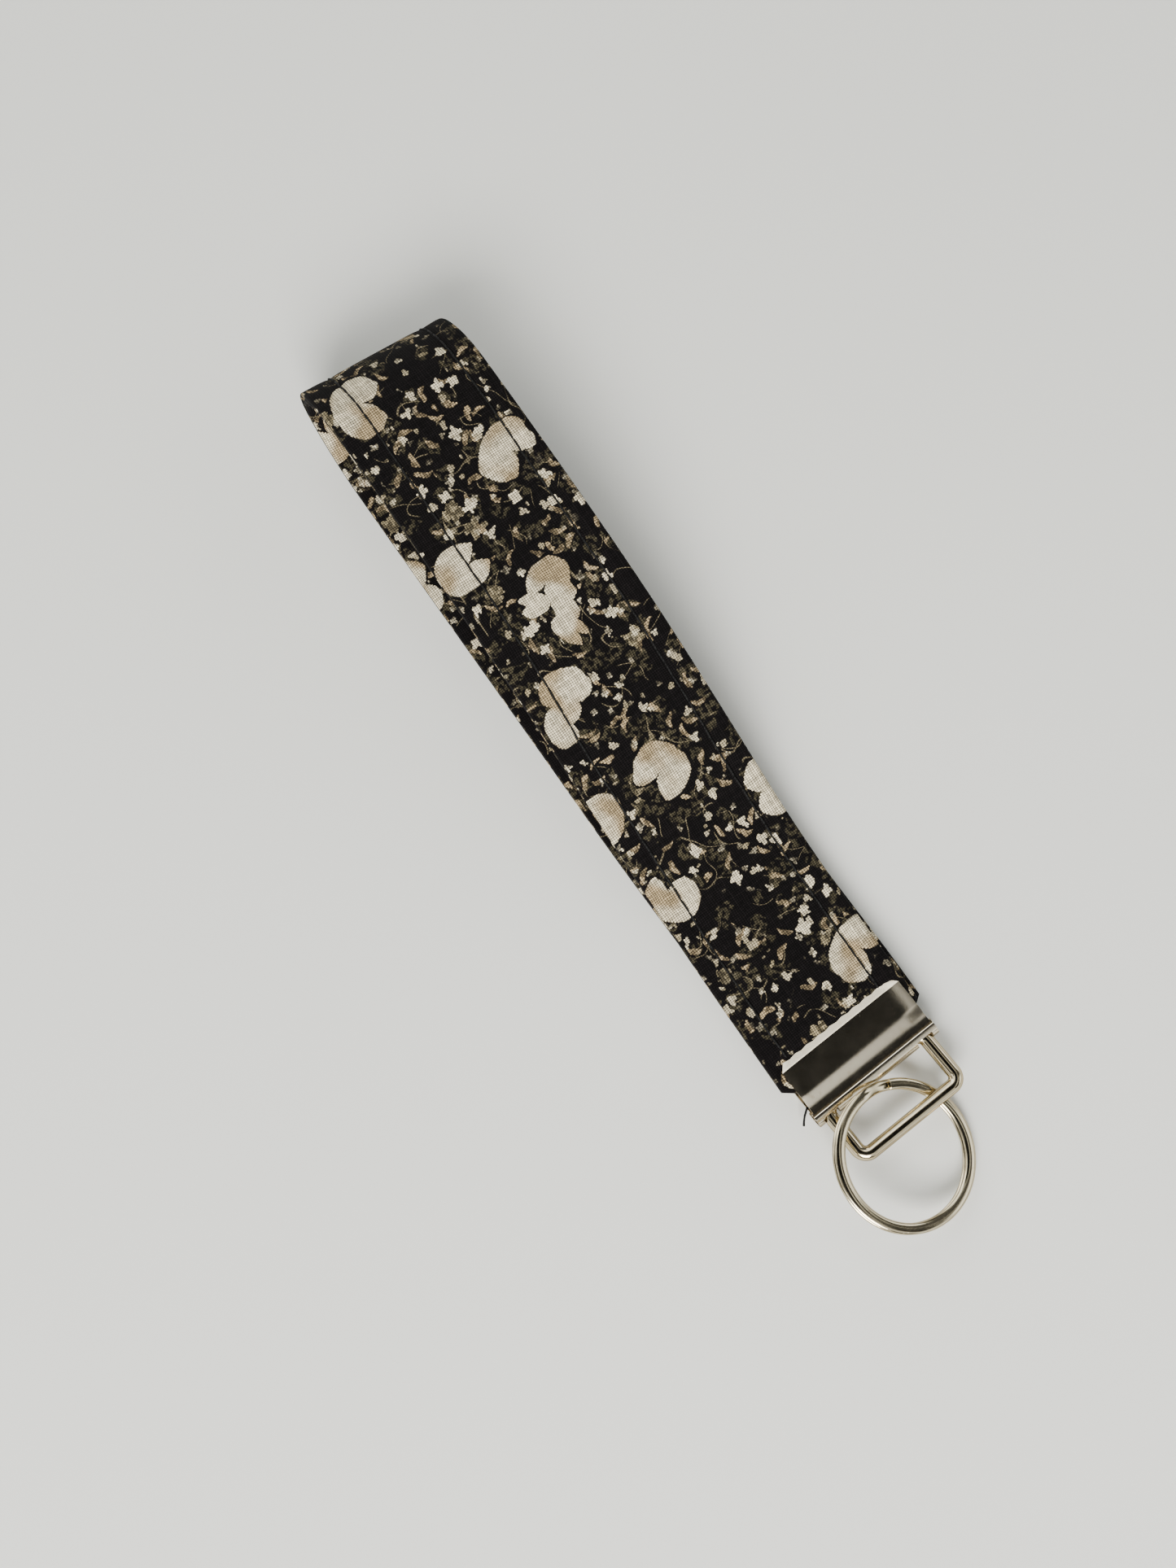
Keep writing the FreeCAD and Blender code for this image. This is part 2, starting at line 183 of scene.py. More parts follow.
class Field:
    """A value that varies over a surface; arithmetic on it adds nodes to its material."""

    def __init__(self, tree, output):
        self.tree = tree
        self.output = output

    def plug(self, value, socket):
        if isinstance(value, Field):
            self.tree.links.new(value.output, socket)
        else:
            socket.default_value = value

    def math(self, operation, *others):
        node = self.tree.nodes.new("ShaderNodeMath")
        node.operation = operation
        for value, socket in zip((self, *others), node.inputs):
            self.plug(value, socket)
        return Field(self.tree, node.outputs[0])

    def vector(self, operation, *others, output="Vector"):
        node = self.tree.nodes.new("ShaderNodeVectorMath")
        node.operation = operation
        for value, socket in zip((self, *others), node.inputs):
            self.plug(value, socket)
        return Field(self.tree, node.outputs[output])

    def __add__(self, other):
        return self.math("ADD", other)

    def __sub__(self, other):
        return self.math("SUBTRACT", other)

    def __mul__(self, other):
        return self.math("MULTIPLY", other)

    def smooth(self, low, high, to_low=0.0, to_high=1.0):
        """A soft step from to_low to to_high as the value goes from low to high."""
        node = self.tree.nodes.new("ShaderNodeMapRange")
        node.interpolation_type = "SMOOTHSTEP"
        for value, name in zip((self, low, high, to_low, to_high),
                               ("Value", "From Min", "From Max", "To Min", "To Max")):
            self.plug(value, node.inputs[name])
        return Field(self.tree, node.outputs[0])

    def axis(self, name):
        node = self.tree.nodes.new("ShaderNodeSeparateXYZ")
        self.plug(self, node.inputs[0])
        return Field(self.tree, node.outputs[name])

    def scaled(self, size):
        node = self.tree.nodes.new("ShaderNodeVectorMath")
        node.operation = "SCALE"
        self.plug(self, node.inputs[0])
        node.inputs["Scale"].default_value = size
        return Field(self.tree, node.outputs[0])

    def placed(self, place, turn, size):
        """The same coordinates measured from a place, turned and in units of size."""
        node = self.tree.nodes.new("ShaderNodeMapping")
        node.vector_type = "TEXTURE"
        self.plug(self, node.inputs["Vector"])
        node.inputs["Location"].default_value = (*place, 0)
        node.inputs["Rotation"].default_value = (0, 0, math.radians(turn))
        node.inputs["Scale"].default_value = (*size, 1)
        return Field(self.tree, node.outputs[0])

    def noise(self, scale, detail=2.0, output="Fac"):
        node = self.tree.nodes.new("ShaderNodeTexNoise")
        self.plug(self, node.inputs["Vector"])
        node.inputs["Scale"].default_value = scale
        node.inputs["Detail"].default_value = detail
        node.inputs["Roughness"].default_value = 0.5
        return Field(self.tree, node.outputs[output])

    def random(self):
        node = self.tree.nodes.new("ShaderNodeTexWhiteNoise")
        self.plug(self, node.inputs["Vector"])
        return Field(self.tree, node.outputs["Value"])

    def cells(self, scale):
        """The middle of the nearest scattered cell, at every place."""
        node = self.tree.nodes.new("ShaderNodeTexVoronoi")
        node.voronoi_dimensions = "2D"
        self.plug(self, node.inputs["Vector"])
        node.inputs["Scale"].default_value = scale
        return Field(self.tree, node.outputs["Position"])

    def mix(self, below, above):
        """The colour below where this value is 0 and the colour above where it is 1."""
        node = self.tree.nodes.new("ShaderNodeMix")
        node.data_type = "RGBA"
        colours = [socket for socket in node.inputs if socket.type == "RGBA"]
        self.plug(self, node.inputs["Factor"])
        for value, socket in zip((below, above), colours):
            self.plug(value if isinstance(value, Field) else (*value, 1), socket)
        made = [socket for socket in node.outputs if socket.type == "RGBA"]
        return Field(self.tree, made[0])


def combine(x, y):
    node = x.tree.nodes.new("ShaderNodeCombineXYZ")
    x.plug(x, node.inputs["X"])
    x.plug(y, node.inputs["Y"])
    return Field(x.tree, node.outputs[0])


def new_material(name, **shader_values):
    """A Principled material, its shader and its node tree."""
    material = bpy.data.materials.new(name)
    material.use_nodes = True
    tree = material.node_tree
    shader = tree.nodes["Principled BSDF"]
    for socket, value in shader_values.items():
        shader.inputs[socket.replace("_", " ")].default_value = value
    return material, shader, tree


def uv(tree, name):
    node = tree.nodes.new("ShaderNodeUVMap")
    node.uv_map = name
    return Field(tree, node.outputs["UV"])


def object_place(tree):
    node = tree.nodes.new("ShaderNodeTexCoord")
    return Field(tree, node.outputs["Object"])


def bump(shader, height, distance):
    tree = height.tree
    node = tree.nodes.new("ShaderNodeBump")
    node.inputs["Distance"].default_value = distance
    height.plug(height, node.inputs["Height"])
    tree.links.new(node.outputs[0], shader.inputs["Normal"])


def plain_weave(cloth):
    """Height of the yarns, 0 in the gaps to 1 on the crowns, and a random value for each yarn."""
    loose = cloth.noise(0.35, 1.0, "Color").vector("SUBTRACT", (0.5, 0.5, 0.5)).scaled(0.5)
    drawn = cloth.vector("ADD", loose)
    a = drawn.axis("X") * (1 / YARN_ACROSS)
    b = drawn.axis("Y") * (1 / YARN_ALONG)
    warp_number = a.math("FLOOR")
    weft_number = b.math("FLOOR")
    warp_round = (a * math.pi).math("SINE").math("ABSOLUTE")
    weft_round = (b * math.pi).math("SINE").math("ABSOLUTE")
    warp_rise = ((b + warp_number) * math.pi).math("SINE").math("MULTIPLY_ADD", 0.5, 0.5)
    weft_rise = ((a + weft_number) * math.pi).math("SINE").math("MULTIPLY_ADD", -0.5, 0.5)
    warp = warp_round.math("POWER", 0.6) * warp_rise
    weft = weft_round.math("POWER", 0.6) * weft_rise
    height = warp.math("MAXIMUM", weft)
    zero = warp_number * 0.0
    warp_shade = combine(warp_number, zero).random()
    weft_shade = combine(zero, weft_number).random()
    shade = warp_shade + weft_shade + combine(warp_number, weft_number).random()
    return height, shade


PETALS = [
    # across, along, half width, half length, turn of the notch, depth of the notch
    (-8.6, 14.4, 4.6, 6.2, 20, 0.6),
    (7.2, 34.4, 4.4, 5.8, 60, 0.8),
    (-10.2, 47.0, 5.0, 4.2, -10, 0.9),
    (0.4, 56.4, 4.2, 3.4, 150, 0.9),
    (-3.9, 58.6, 2.7, 2.0, 200, 0.6),
    (0.9, 61.0, 2.6, 3.6, 20, 0.5),
    (-1.2, 65.2, 3.4, 2.2, 62, 0.8),
    (-7.4, 73.0, 3.5, 4.6, 110, 0.7),
    (-10.4, 77.4, 3.1, 4.4, 40, 0.5),
    (-1.1, 93.1, 4.6, 5.1, 150, 0.8),
    (-15.0, 94.6, 4.3, 5.2, -120, 0.6),
    (12.6, 106.0, 3.8, 5.4, 180, 0.7),
    (-11.5, 112.2, 4.4, 4.8, -60, 0.9),
    (10.0, 137.2, 4.4, 6.2, 60, 0.8),
]
PRINT_REPEAT = 146.0
BACK_SHIFT = 31.0
NOTCH_HALF_ANGLE = 0.55
# The scattered motifs: cells to the mm, the share of the cells that have one, and its form, in mm
LEAVES = {"scale": 0.28, "share": 0.50, "length": 2.4, "slimness": 1.7}
LARGE_FLORETS = {"scale": 0.155, "share": 0.22, "size": 1.9, "raggedness": 1.6}
SMALL_FLORETS = {"scale": 0.31, "share": 0.32, "size": 1.15, "raggedness": 0.9}
TINY_FLORETS = {"scale": 0.52, "share": 0.38, "size": 0.72, "raggedness": 0.4}
DASHES = {"scale": 0.30, "share": 0.42, "length": 1.5, "slimness": 3.2}


def petal_distance(cloth, across, along, half_width, half_length, turn, depth):
    """Below 0 inside one rounded petal with a notch, above 0 outside it."""
    local = cloth.placed((across, along), turn, (half_width, half_length))
    bearing = local.axis("Y").math("ARCTAN2", local.axis("X")).math("ABSOLUTE")
    notch = (bearing * (-depth / NOTCH_HALF_ANGLE) + depth).math("MAXIMUM", 0.0)
    return local.vector("LENGTH", output="Value") + notch - 1.0


def florets(cloth, scale, share, size, raggedness):
    """1 inside small round-lobed flowers scattered one to a cell, in a share of the cells."""
    centre = cloth.cells(scale)
    local = cloth.vector("SUBTRACT", centre)
    pick = centre.random()
    other = centre.vector("ADD", (7.3, 1.9, 0.0)).random()
    half_lobes = (other * 2.99).math("FLOOR") * 0.5 + 1.0
    bearing = local.axis("Y").math("ARCTAN2", local.axis("X"))
    wave = (bearing * half_lobes + other * 6.28).math("COSINE").math("ABSOLUTE")
    radius = wave.math("MULTIPLY_ADD", 0.45, 0.55) * other.math("MULTIPLY_ADD", 0.6, 0.5) * size
    ragged = cloth.noise(1.3, 1.0).math("MULTIPLY_ADD", raggedness, -raggedness / 2)
    inside = (radius + ragged - local.vector("LENGTH", output="Value")).smooth(-0.04, 0.06)
    return inside * pick.math("LESS_THAN", share), other


def sprigs(cloth, scale, share, length, slimness):
    """1 inside slim bent leaves, turned at random."""
    centre = cloth.cells(scale)
    local = cloth.vector("SUBTRACT", centre)
    pick = centre.random()
    turn = centre.vector("ADD", (3.1, 8.7, 0.0)).random() * math.pi
    x, y = local.axis("X"), local.axis("Y")
    along = x * turn.math("COSINE") + y * turn.math("SINE")
    beside = y * turn.math("COSINE") - x * turn.math("SINE")
    bent = beside + along * along * 0.22
    reach = (along * (1 / length)).math("POWER", 2.0) + (bent * (slimness / length)).math("POWER", 2.0)
    return (reach * -1.0 + 1.0).smooth(-0.05, 0.25) * pick.math("LESS_THAN", share)


def stems(cloth, scale, offset):
    """1 on thin wandering lines, which break off here and there."""
    field = cloth.vector("ADD", (offset, offset, 0.0)).noise(scale, 0.5)
    line = (field - 0.5).math("ABSOLUTE").smooth(0.003, 0.0065, 1.0, 0.0)
    return line * cloth.noise(0.2, 0.0).smooth(0.53, 0.58)


GROUND = (0.0045, 0.0036, 0.0038)
CREAM = (0.58, 0.51, 0.365)
TAN = (0.31, 0.235, 0.135)
TAUPE = (0.23, 0.19, 0.115)
OLIVE = (0.042, 0.036, 0.022)


def yarn_stepped(cloth, share):
    """Coordinates pulled part of the way to the middle of each yarn crossing, so edges follow the weave."""
    x = cloth.axis("X")
    y = cloth.axis("Y")
    x_step = ((x * (1 / YARN_ACROSS)).math("FLOOR") + 0.5) * YARN_ACROSS
    y_step = ((y * (1 / YARN_ALONG)).math("FLOOR") + 0.5) * YARN_ALONG
    return combine(x + (x_step - x) * share, y + (y_step - y) * share)


def shifted_noise(cloth, scale, reach, detail=1.0):
    """Coordinates moved about by noise, by up to about reach / 2 either way."""
    push = cloth.noise(scale, detail, "Color").vector("SUBTRACT", (0.5, 0.5, 0.5)).scaled(reach)
    return cloth.vector("ADD", push)


def nearest_petal(cloth):
    """The distance to the nearest large petal, below 0 inside it."""
    nearest = None
    for across, along, *form in PETALS:
        for place in ((across, along), (across + BACK_SHIFT, along - PRINT_REPEAT)):
            distance = petal_distance(cloth, *place, *form)
            nearest = distance if nearest is None else nearest.math("MINIMUM", distance)
    return nearest


def printed_cotton():
    """Quilting cotton: cream petals, small florets and sprigs on a near-black ground, in plain weave."""
    material, shader, tree = new_material("printed_cotton", Roughness=0.95, Sheen_Weight=0.02,
                                          Sheen_Roughness=0.5, Specular_IOR_Level=0.08)
    cloth = uv(tree, "cloth").scaled(1 / MM)
    height, yarn_shade = plain_weave(cloth)
    printed = yarn_stepped(cloth, 0.4)
    sketched = shifted_noise(printed, 0.45, 1.5)
    crowd = cloth.noise(0.12, 1.0).smooth(0.42, 0.56)

    leaves = sprigs(sketched.vector("ADD", (90.0, 17.0, 0.0)), **LEAVES)
    leaves = leaves * cloth.noise(1.1, 1.0).smooth(0.44, 0.58)
    large, large_tone = florets(sketched.vector("ADD", (63.0, 9.0, 0.0)), **LARGE_FLORETS)
    small, small_tone = florets(sketched.vector("ADD", (40.0, 3.0, 0.0)), **SMALL_FLORETS)
    tiny, tiny_tone = florets(sketched.vector("ADD", (11.0, 27.0, 0.0)), **TINY_FLORETS)
    tiny = tiny * crowd
    dashes = sprigs(sketched.vector("ADD", (5.0, 71.0, 0.0)), **DASHES)
    lines = stems(cloth, 0.11, 4.0).math("MAXIMUM", stems(cloth, 0.14, 60.0))

    nearest = nearest_petal(shifted_noise(printed, 0.22, 1.5))
    petals = nearest.smooth(-0.012, 0.022, 1.0, 0.0)
    clear_of_petals = (nearest + cloth.noise(0.5, 0.0) * 0.5 - 0.25).smooth(0.08, 0.16)

    patch = cloth.noise(0.14, 1.0).smooth(0.44, 0.62)
    petal_colour = patch.mix(CREAM, TAN)
    faded = cloth.vector("ADD", (17.0, 5.0, 0.0)).noise(0.9, 1.0).smooth(0.45, 0.55, 0.30, 1.0)
    colour = leaves.mix(GROUND, OLIVE)
    colour = (lines * 0.5).mix(colour, TAUPE)
    colour = (large * clear_of_petals * faded).mix(colour, large_tone.smooth(0.3, 0.7).mix(OLIVE, TAUPE))
    colour = (dashes * clear_of_petals * faded).mix(colour, TAN)
    colour = (small * clear_of_petals).mix(colour, small_tone.smooth(0.0, 0.9).mix(TAUPE, CREAM))
    colour = (tiny * clear_of_petals * faded).mix(colour, tiny_tone.mix(TAUPE, CREAM))
    colour = petals.mix(colour, petal_colour)

    # Painted shade in the gaps between the yarns and painted highlight on their crowns: the colour is
    # darkened in the gaps and lifted on the crowns, partly because the print does not reach into the gaps and
    # partly as light falls on the weave. The yarns' random tone and slubs are the cloth's own.
    weave_gap_shade = height.smooth(0.28, 0.85, 0.16, 1.18)
    slub = cloth.noise(1.6, 1.0).smooth(0.35, 0.65, 0.86, 1.10)
    tone_and_weave_shade = yarn_shade.math("MULTIPLY_ADD", 0.40, 0.56) * weave_gap_shade * slub
    node = tree.nodes.new("ShaderNodeVectorMath")
    node.operation = "SCALE"
    tree.links.new(colour.output, node.inputs[0])
    tree.links.new(tone_and_weave_shade.output, node.inputs["Scale"])
    tree.links.new(node.outputs[0], shader.inputs["Base Color"])
    bump(shader, height, 0.07 * MM)
    return material


def sewing_thread():
    """Black two-ply polyester thread."""
    material, shader, tree = new_material("sewing_thread", Base_Color=(0.008, 0.008, 0.009, 1),
                                          Roughness=0.7, Specular_IOR_Level=0.2)
    strand = uv(tree, "strand")
    twist = (strand.axis("X") * (1 / (0.55 * MM)) + strand.axis("Y") * 2.0) * (2 * math.pi)
    ply = twist.math("SINE").math("MULTIPLY_ADD", 0.5, 0.5)
    fibre = strand.placed((0, 0), 0, (0.2 * MM, 0.02)).noise(3.0, 2.0)
    bump(shader, ply + fibre * 0.3, 0.05 * MM)
    # Painted shade: the colour is a little darker in the grooves between the plies and lighter on their
    # crowns, besides a random tone from the fibres.
    colour = (ply * fibre).mix((0.003, 0.003, 0.003), (0.012, 0.011, 0.011))
    tree.links.new(colour.output, shader.inputs["Base Color"])
    return material


def felt():
    """The off-white felted band inside the strap."""
    material, shader, tree = new_material("stiffener", Roughness=0.95, Sheen_Weight=0.3)
    place = object_place(tree).scaled(1 / MM)
    fibres = place.noise(3.0, 4.0)
    colour = fibres.mix((0.40, 0.38, 0.33), (0.62, 0.60, 0.55))
    tree.links.new(colour.output, shader.inputs["Base Color"])
    bump(shader, fibres, 0.1 * MM)
    return material


# The metal's tint at grazing angles, set dark brown: partly nickel's own edge tint and partly painted shade,
# which darkens the wires' edges as if they reflected the shadowed table.
NICKEL_EDGE_TINT_AND_SHADE = (0.24, 0.18, 0.11)


def nickel(name, colour, smoothest, roughest, grain):
    """Warm nickel plate: cloudy polish, a fine grain, faint scuffs and a few tiny pits."""
    material, shader, tree = new_material(name, Metallic=1.0, Specular_Tint=(*NICKEL_EDGE_TINT_AND_SHADE, 1))
    place = object_place(tree).scaled(1 / MM)
    cloud = place.noise(0.35, 2.0)
    scuff = place.placed((0, 0), 35, (0.12, 2.5)).noise(2.0, 2.0).smooth(0.60, 0.80)
    grime = place.noise(0.9, 4.0).smooth(0.55, 0.75)
    roughness = (cloud + scuff * 0.3).smooth(0.3, 0.8, smoothest, roughest)
    tree.links.new(roughness.output, shader.inputs["Roughness"])
    tarnish = tuple(share * value for share, value in zip((0.80, 0.74, 0.64), colour))
    tint = (grime * 0.5 + cloud * 0.3).mix(colour, tarnish)
    tree.links.new(tint.output, shader.inputs["Base Color"])
    pits = place.noise(2.2, 1.0).smooth(0.76, 0.80, 1.0, 0.0)
    sand = place.noise(7.0, 1.0)
    bump(shader, sand * grain + pits * 0.5, 0.01 * MM)
    return material


# ---------------------------------------------------------------- meshes

def new_piece(name, vertices, faces, material, body):
    mesh = bpy.data.meshes.new(name)
    mesh.from_pydata(vertices, [], faces)
    mesh.materials.append(material)
    mesh.shade_smooth()
    piece = bpy.data.objects.new(name, mesh)
    bpy.context.scene.collection.objects.link(piece)
    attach(piece, body)
    return piece


def smooth_step(share):
    """0 to 1 with a flat start and a flat end; a share outside 0 to 1 is held at the nearest end."""
    share = min(max(share, 0.0), 1.0)
    return share * share * (3 - 2 * share)


def heading_vector(heading):
    return np.array([math.cos(math.radians(heading)), math.sin(math.radians(heading))])


def ease(along, climb, radius, radius_is_last=False):
    """Two bends that climb to the left of a straight path and come back parallel to it."""
    turn = 2 * math.degrees(math.atan(climb / along))
    both_radii = along / math.sin(math.radians(abs(turn)))
    radii = [radius, both_radii - radius]
    if radius_is_last:
        radii.reverse()
    return [(radii[0], turn), (radii[1], -turn)]


def strap_moves():
    """The strap's middle line as runs (length, 0) and bends (radius, turn to the left)."""
    drop = HINGE.z - (STRAP_THICKNESS + LAYER_GAP) / 2 - STRAP_THICKNESS / 2
    drop_radius = DROP_LENGTH / 2 / math.sin(2 * math.atan(drop / DROP_LENGTH))
    tip_share = math.cos(math.radians(FOLD_SIDE_TURN))
    side_radius = (LOOP_HEIGHT / 2 - FOLD_TIP_RADIUS * tip_share) / (1 - tip_share)
    descent = LOOP_HEIGHT - STRAP_THICKNESS - LAYER_GAP
    return (
        [(MOUTH_RUN, 0)]
        + ease(DROP_LENGTH, -drop, drop_radius)
        + [(TABLE_RUN, 0), (side_radius, FOLD_SIDE_TURN)]
        + [(FOLD_TIP_RADIUS, 180 - 2 * FOLD_SIDE_TURN)]
        + [(side_radius, FOLD_SIDE_TURN), (CREST_RUN, 0)]
        + ease(DESCENT_LENGTH, descent, PART_BEND_RADIUS, radius_is_last=True)
        + [(PART_RUN, 0)]
        + ease(DROP_LENGTH, -drop, drop_radius)
        + [(MOUTH_RUN, 0)]
    )


def move_length(move):
    size, turn = move
    return size * abs(math.radians(turn)) if turn else size


def strap_line(step):
    """Places (y, z), headings and distances along the strap's middle line, about every step."""
    place = np.array([SLEEVE_LOW.y, HINGE.z - (STRAP_THICKNESS + LAYER_GAP) / 2])
    heading, gone = 0.0, 0.0
    rows = [(place[0], place[1], heading, gone)]
    for move in strap_moves():
        size, turn = move
        count = max(1, round(move_length(move) / step))
        part = move_length(move) / count
        for _ in range(count):
            half_turn = turn / count / 2
            chord = part
            if turn:
                chord = 2 * size * math.sin(abs(math.radians(half_turn)))
            place = place + heading_vector(heading + half_turn) * chord
            heading += 2 * half_turn
            gone += part
            rows.append((place[0], place[1], heading, gone))
    return np.array(rows)


STRAP_ROWS = strap_line(ROW_STEP)
STRAP_LENGTH = STRAP_ROWS[-1, 3]
FOLD_TIP_AT = STRAP_ROWS[np.argmax(STRAP_ROWS[:, 0]), 3]


def eased(table, place, column=1):
    """A value read from a list of places and values, changing smoothly between them."""
    for low, high in zip(table, table[1:]):
        if place <= high[0]:
            share = smooth_step((place - low[0]) / (high[0] - low[0]))
            return low[column] + (high[column] - low[column]) * share
    return table[-1][column]


def strap_place(row, across, out):
    """The point at a row of the strap's middle line, across it, and out from it on the outer side."""
    y, z, heading, gone = row
    side = heading_vector(heading - 90) * out
    near_fold = max(0.0, 1 - ((gone - FOLD_TIP_AT) / FOLD_SKEW_REACH) ** 2) ** 2
    skew = -FOLD_SKEW * across * near_fold
    drift = eased(STRAP_DRIFT, gone - FOLD_TIP_AT)
    return (STRAP_MIDDLE_X + drift + across, y + side[0] + skew, z + side[1])


def width_share(gone):
    """How much of its full width the strap has: less at its trimmed ends."""
    from_end = min(gone, STRAP_LENGTH - gone)
    trim = END_TRIM_ACROSS * max(0.0, 1 - from_end / END_TRIM_ALONG)
    return 1 - 2 * trim / STRAP_WIDTH


def seam_place(side, gone):
    """Where a seam runs across the strap, with the small wander of hand-guided sewing."""
    line = eased(SEAM_LINES, gone - FOLD_TIP_AT, 1 if side < 0 else 2)
    wander = 0.10 * math.sin(gone / (9 * MM) + 2 * side) + 0.05 * math.sin(gone / (3.1 * MM) + side)
    return line + wander * MM


def face_dip(across, gone):
    """How far a face of the strap is drawn in by the two seams and by the clamp's lip."""
    beat = 0.5 + 0.5 * math.cos(2 * math.pi * gone / STITCH_LENGTH)
    dip = 0.0
    for side in (-1, 1):
        away = across - seam_place(side, gone)
        dip += GROOVE_DEPTH * (0.75 + 0.25 * beat) * math.exp(-((away / GROOVE_WIDTH) ** 2))
        dip += PUFF_DEPTH * math.exp(-((away / PUFF_WIDTH) ** 2))
    from_end = min(gone, STRAP_LENGTH - gone)
    if abs(across) < JAW_HALF_WIDTH + LIP_BITE_MARGIN:
        dip += LIP_BITE_DEPTH * math.exp(-(((from_end - LIP_BITE_AT) / LIP_BITE_LENGTH) ** 2))
    return dip


def upper_half_outline():
    """Half of the sleeve's section: pairs (across, out) from a hem's raw edge inside to the right edge."""
    half_width, half_thick = STRAP_WIDTH / 2, STRAP_THICKNESS / 2
    left = -half_width
    points = [(left + HEM_WIDTH * share, HEM_HEIGHT) for share in HEM_SHARES]
    middle = half_thick - EDGE_FOLD_RADIUS
    for number in range(EDGE_FOLD_SIDES + 1):
        angle = math.radians(270 - number * 180 / EDGE_FOLD_SIDES)
        points.append((left + EDGE_FOLD_RADIUS * (1 + math.cos(angle)),
                       middle + EDGE_FOLD_RADIUS * math.sin(angle)))
    first, last = left + LEFT_EDGE_RUN, half_width - RIGHT_EDGE_RUN
    count = round((last - first) / SECTION_STEP)
    points += [(first + (last - first) * number / count, half_thick) for number in range(count + 1)]
    for number in range(1, RIGHT_EDGE_SIDES + 1):
        angle = math.radians(90 - number * 90 / RIGHT_EDGE_SIDES)
        points.append((last + RIGHT_EDGE_RUN * math.cos(angle) ** RIGHT_EDGE_SQUARENESS,
                       half_thick * math.sin(angle) ** RIGHT_EDGE_SQUARENESS))
    return points


def sleeve_section():
    """Each point (across, out) round the sleeve, from one hidden raw edge to the other, and the girth."""
    half = upper_half_outline()
    points = np.array(half + [(across, -out) for across, out in half[-2::-1]])
    steps = np.linalg.norm(np.diff(points, axis=0), axis=1)
    girth = np.concatenate([[0.0], np.cumsum(steps)])
    return points, girth - girth[-1] / 2 + STRAP_WIDTH / 2


def sweep(name, points, girth, material, shaped, closed):
    """A band: the section swept along the strap. shaped says how far out each point then is."""
    rows, count = STRAP_ROWS, len(points)
    vertices = []
    for row in rows:
        share = width_share(row[3])
        for across, out in points:
            vertices.append(strap_place(row, across * share, shaped(across, out, row[3])))
    faces, corners = [], []
    for r in range(len(rows) - 1):
        for c in range(count if closed else count - 1):
            after = (c + 1) % count
            faces.append((r * count + c, (r + 1) * count + c, (r + 1) * count + after, r * count + after))
            near, far = rows[r, 3] - FOLD_TIP_AT, rows[r + 1, 3] - FOLD_TIP_AT
            corners += [(girth[c], near), (girth[c], far), (girth[c + 1], far), (girth[c + 1], near)]
    if closed:
        faces.append(tuple(range(count)))
        faces.append(tuple(range((len(rows) - 1) * count, len(rows) * count))[::-1])
        corners += [(girth[c], rows[0, 3]) for c in range(count)] * 2
    piece = new_piece(name, vertices, faces, material, STRAP_BODY)
    layer = piece.data.uv_layers.new(name="cloth")
    layer.data.foreach_set("uv", np.array(corners, np.float32).ravel())
    return piece


def strap_sleeve(material):
    """The cotton: one sheet wrapped round the stiffener, its two hems turned in at the left edge."""
    points, girth = sleeve_section()
    half_thick = STRAP_THICKNESS / 2

    def shaped(across, out, gone):
        outer_share = max(0.0, (abs(out) - HEM_HEIGHT) / (half_thick - HEM_HEIGHT))
        return out - math.copysign(outer_share ** 2, out) * face_dip(across, gone)

    piece = sweep("strap_cotton", points, girth, material, shaped, closed=False)
    solid = piece.modifiers.new("cloth_thickness", "SOLIDIFY")
    solid.thickness = CLOTH_THICKNESS
    solid.offset = -1
    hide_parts("strap_sleeve")
    return piece, girth[-1] - girth[0]


def strap_core(material):
    """The stiffening band, between the hems."""
    low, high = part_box("strap_core")
    half_width, half_thick = CORE_WIDTH_SHARE * (high.x - low.x) / 2, CORE_HALF_THICKNESS
    corners = [(-half_width, -half_thick), (-half_width, half_thick), (half_width, half_thick),
               (half_width, -half_thick)]
    girth = [0.0, 2 * half_thick, 2 * (half_thick + half_width), 4 * half_thick + 2 * half_width,
             4 * (half_thick + half_width)]
    piece = sweep("strap_stiffener", corners, girth, material, lambda across, out, gone: out, closed=True)
    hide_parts("strap_core")
    return piece


def row_at(gone):
    """The strap's middle line at any distance along it."""
    return [np.interp(gone, STRAP_ROWS[:, 3], STRAP_ROWS[:, column]) for column in range(4)]


def tube(path, radii, sides, vertices, faces, corners):
    """Adds a round tube through the points of path to a growing mesh."""
    start = len(vertices)
    path = [Vector(p) for p in path]
    gone = 0.0
    rings = []
    for number, point in enumerate(path):
        ahead = path[min(number + 1, len(path) - 1)]
        behind = path[max(number - 1, 0)]
        along = (ahead - behind).normalized()
        side = along.cross(Vector((0, 0, 1)))
        if side.length < 0.05:
            side = along.cross(Vector((1, 0, 0)))
        side.normalize()
        up = side.cross(along)
        gone += (point - behind).length
        rings.append(gone)
        for k in range(sides):
            angle = 2 * math.pi * k / sides
            vertices.append(point + (side * math.cos(angle) + up * math.sin(angle)) * radii[number])
    for r in range(len(path) - 1):
        for k in range(sides):
            after = (k + 1) % sides
            base = start + r * sides
            faces.append((base + k, base + after, base + sides + after, base + sides + k))
            corners += [(rings[r], k / sides), (rings[r], (k + 1) / sides),
                        (rings[r + 1], (k + 1) / sides), (rings[r + 1], k / sides)]
    faces.append(tuple(start + k for k in range(sides))[::-1])
    faces.append(tuple(start + (len(path) - 1) * sides + k for k in range(sides)))
    corners += [(0.0, k / sides) for k in range(sides)] * 2


def thread_piece(name, paths, radii, material):
    """Every length of thread in paths as one piece of the strap."""
    vertices, faces, corners = [], [], []
    for path in paths:
        tube(path, radii, THREAD_SIDES, vertices, faces, corners)
    piece = new_piece(name, vertices, faces, material, STRAP_BODY)
    layer = piece.data.uv_layers.new(name="strand")
    layer.data.foreach_set("uv", np.array(corners, np.float32).ravel())
    return piece


